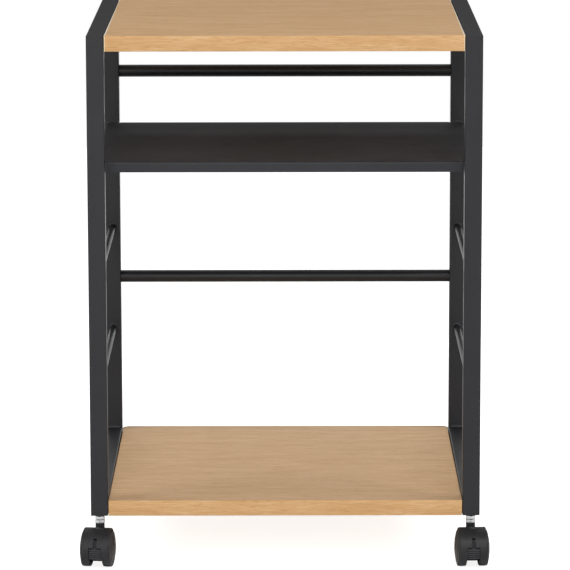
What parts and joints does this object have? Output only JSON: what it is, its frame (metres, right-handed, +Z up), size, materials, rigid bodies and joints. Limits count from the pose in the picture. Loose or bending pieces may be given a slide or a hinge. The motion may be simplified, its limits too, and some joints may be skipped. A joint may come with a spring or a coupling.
{
  "type": "mobile printer stand",
  "caption": "Open mobile printer stand: square-tube side frames tied by wood-grain boards and rear cross tubes, with a hung sheet-steel shelf and swivel twin-wheel casters.",
  "frame": {"origin": "on the floor under the middle of the stand", "axes": "+Z up, the front faces -Y, +X to the right seen from the front"},
  "size_m": [0.475, 0.463, 0.616],
  "materials": {
    "powder_coated_tube": "fine-textured satin black powder coat",
    "powder_coated_sheet": "fine-textured satin black powder coat",
    "wood_grain_board": "wood-grain laminate on chipboard, satin",
    "edge_band": "wood-grain edge band, satin",
    "zinc_plated_steel": "bright zinc plating",
    "black_steel": "black coated steel",
    "moulded_nylon": "satin moulded black nylon",
    "moulded_nylon_wheel": "satin moulded black nylon"
  },
  "bodies": {
    "frame": {"left_front_post": "powder_coated_tube", "left_rear_post": "powder_coated_tube", "left_top_rail": "powder_coated_tube", "left_bottom_rail": "powder_coated_tube", "right_front_post": "powder_coated_tube", "right_rear_post": "powder_coated_tube", "right_top_rail": "powder_coated_tube", "right_bottom_rail": "powder_coated_tube", "left_lower_side_rod": "powder_coated_tube", "left_middle_side_rod": "powder_coated_tube", "left_upper_side_rod": "powder_coated_tube", "right_lower_side_rod": "powder_coated_tube", "right_middle_side_rod": "powder_coated_tube", "right_upper_side_rod": "powder_coated_tube", "lower_rear_rod": "powder_coated_tube", "upper_rear_rod": "powder_coated_tube", "rear_rod_plugs": "zinc_plated_steel", "rear_rod_bolts": "black_steel", "top_board": "wood_grain_board", "top_front_band": "edge_band", "top_rear_band": "edge_band", "lower_board": "wood_grain_board", "lower_front_band": "edge_band", "lower_rear_band": "edge_band", "board_bolts": "black_steel", "board_insert_nuts": "zinc_plated_steel", "caster_nuts": "black_steel", "stem_lock_nuts": "zinc_plated_steel", "stem_grip_rings": "zinc_plated_steel", "front_left_caster_stem": "zinc_plated_steel", "front_right_caster_stem": "zinc_plated_steel", "rear_left_caster_stem": "zinc_plated_steel", "rear_right_caster_stem": "zinc_plated_steel"},
    "shelf": {"middle_shelf": "powder_coated_sheet"},
    "front_left_swivel": {"front_left_caster_hood": "moulded_nylon", "front_left_caster_axle": "zinc_plated_steel", "front_left_brake_pin": "zinc_plated_steel"},
    "front_left_left_wheel": {"front_left_caster_left_wheel": "moulded_nylon_wheel"},
    "front_left_right_wheel": {"front_left_caster_right_wheel": "moulded_nylon_wheel"},
    "front_left_brake": {"front_left_brake_lever": "moulded_nylon"},
    "front_right_swivel": {"front_right_caster_hood": "moulded_nylon", "front_right_caster_axle": "zinc_plated_steel", "front_right_brake_pin": "zinc_plated_steel"},
    "front_right_left_wheel": {"front_right_caster_left_wheel": "moulded_nylon_wheel"},
    "front_right_right_wheel": {"front_right_caster_right_wheel": "moulded_nylon_wheel"},
    "front_right_brake": {"front_right_brake_lever": "moulded_nylon"},
    "rear_left_swivel": {"rear_left_caster_hood": "moulded_nylon", "rear_left_caster_axle": "zinc_plated_steel"},
    "rear_left_left_wheel": {"rear_left_caster_left_wheel": "moulded_nylon_wheel"},
    "rear_left_right_wheel": {"rear_left_caster_right_wheel": "moulded_nylon_wheel"},
    "rear_right_swivel": {"rear_right_caster_hood": "moulded_nylon", "rear_right_caster_axle": "zinc_plated_steel"},
    "rear_right_left_wheel": {"rear_right_caster_left_wheel": "moulded_nylon_wheel"},
    "rear_right_right_wheel": {"rear_right_caster_right_wheel": "moulded_nylon_wheel"}
  },
  "joints": [
    {"name": "shelf_lift", "type": "slide", "parent": "frame", "child": "shelf", "axis": [0, 0, 1], "range_m": [0, 0.12]},
    {"name": "front_left_swivel_turn", "type": "hinge", "parent": "frame", "child": "front_left_swivel", "pos_m": [-0.215, -0.19, 0.045], "axis": [0, 0, 1], "continuous": true},
    {"name": "front_left_left_wheel_spin", "type": "hinge", "parent": "front_left_swivel", "child": "front_left_left_wheel", "pos_m": [-0.21695, -0.20588, 0.021], "axis": [0.9925, -0.1219, 0], "continuous": true},
    {"name": "front_left_right_wheel_spin", "type": "hinge", "parent": "front_left_swivel", "child": "front_left_right_wheel", "pos_m": [-0.21695, -0.20588, 0.021], "axis": [0.9925, -0.1219, 0], "continuous": true},
    {"name": "front_left_brake_tilt", "type": "hinge", "parent": "front_left_swivel", "child": "front_left_brake", "pos_m": [-0.21905, -0.22295, 0.03304], "axis": [-0.9925, 0.1219, 0], "range_deg": [0, 15]},
    {"name": "front_right_swivel_turn", "type": "hinge", "parent": "frame", "child": "front_right_swivel", "pos_m": [0.215, -0.19, 0.045], "axis": [0, 0, 1], "continuous": true},
    {"name": "front_right_left_wheel_spin", "type": "hinge", "parent": "front_right_swivel", "child": "front_right_left_wheel", "pos_m": [0.21598, -0.20597, 0.021], "axis": [0.9981, 0.061, 0], "continuous": true},
    {"name": "front_right_right_wheel_spin", "type": "hinge", "parent": "front_right_swivel", "child": "front_right_right_wheel", "pos_m": [0.21598, -0.20597, 0.021], "axis": [0.9981, 0.061, 0], "continuous": true},
    {"name": "front_right_brake_tilt", "type": "hinge", "parent": "front_right_swivel", "child": "front_right_brake", "pos_m": [0.21703, -0.22314, 0.03304], "axis": [-0.9981, -0.061, 0], "range_deg": [0, 15]},
    {"name": "rear_left_swivel_turn", "type": "hinge", "parent": "frame", "child": "rear_left_swivel", "pos_m": [-0.215, 0.19, 0.045], "axis": [0, 0, 1], "continuous": true},
    {"name": "rear_left_left_wheel_spin", "type": "hinge", "parent": "rear_left_swivel", "child": "rear_left_left_wheel", "pos_m": [-0.21598, 0.20597, 0.021], "axis": [-0.9981, -0.061, 0], "continuous": true},
    {"name": "rear_left_right_wheel_spin", "type": "hinge", "parent": "rear_left_swivel", "child": "rear_left_right_wheel", "pos_m": [-0.21598, 0.20597, 0.021], "axis": [-0.9981, -0.061, 0], "continuous": true},
    {"name": "rear_right_swivel_turn", "type": "hinge", "parent": "frame", "child": "rear_right_swivel", "pos_m": [0.215, 0.19, 0.045], "axis": [0, 0, 1], "continuous": true},
    {"name": "rear_right_left_wheel_spin", "type": "hinge", "parent": "rear_right_swivel", "child": "rear_right_left_wheel", "pos_m": [0.21695, 0.20588, 0.021], "axis": [-0.9925, 0.1219, 0], "continuous": true},
    {"name": "rear_right_right_wheel_spin", "type": "hinge", "parent": "rear_right_swivel", "child": "rear_right_right_wheel", "pos_m": [0.21695, 0.20588, 0.021], "axis": [-0.9925, 0.1219, 0], "continuous": true}
  ]
}
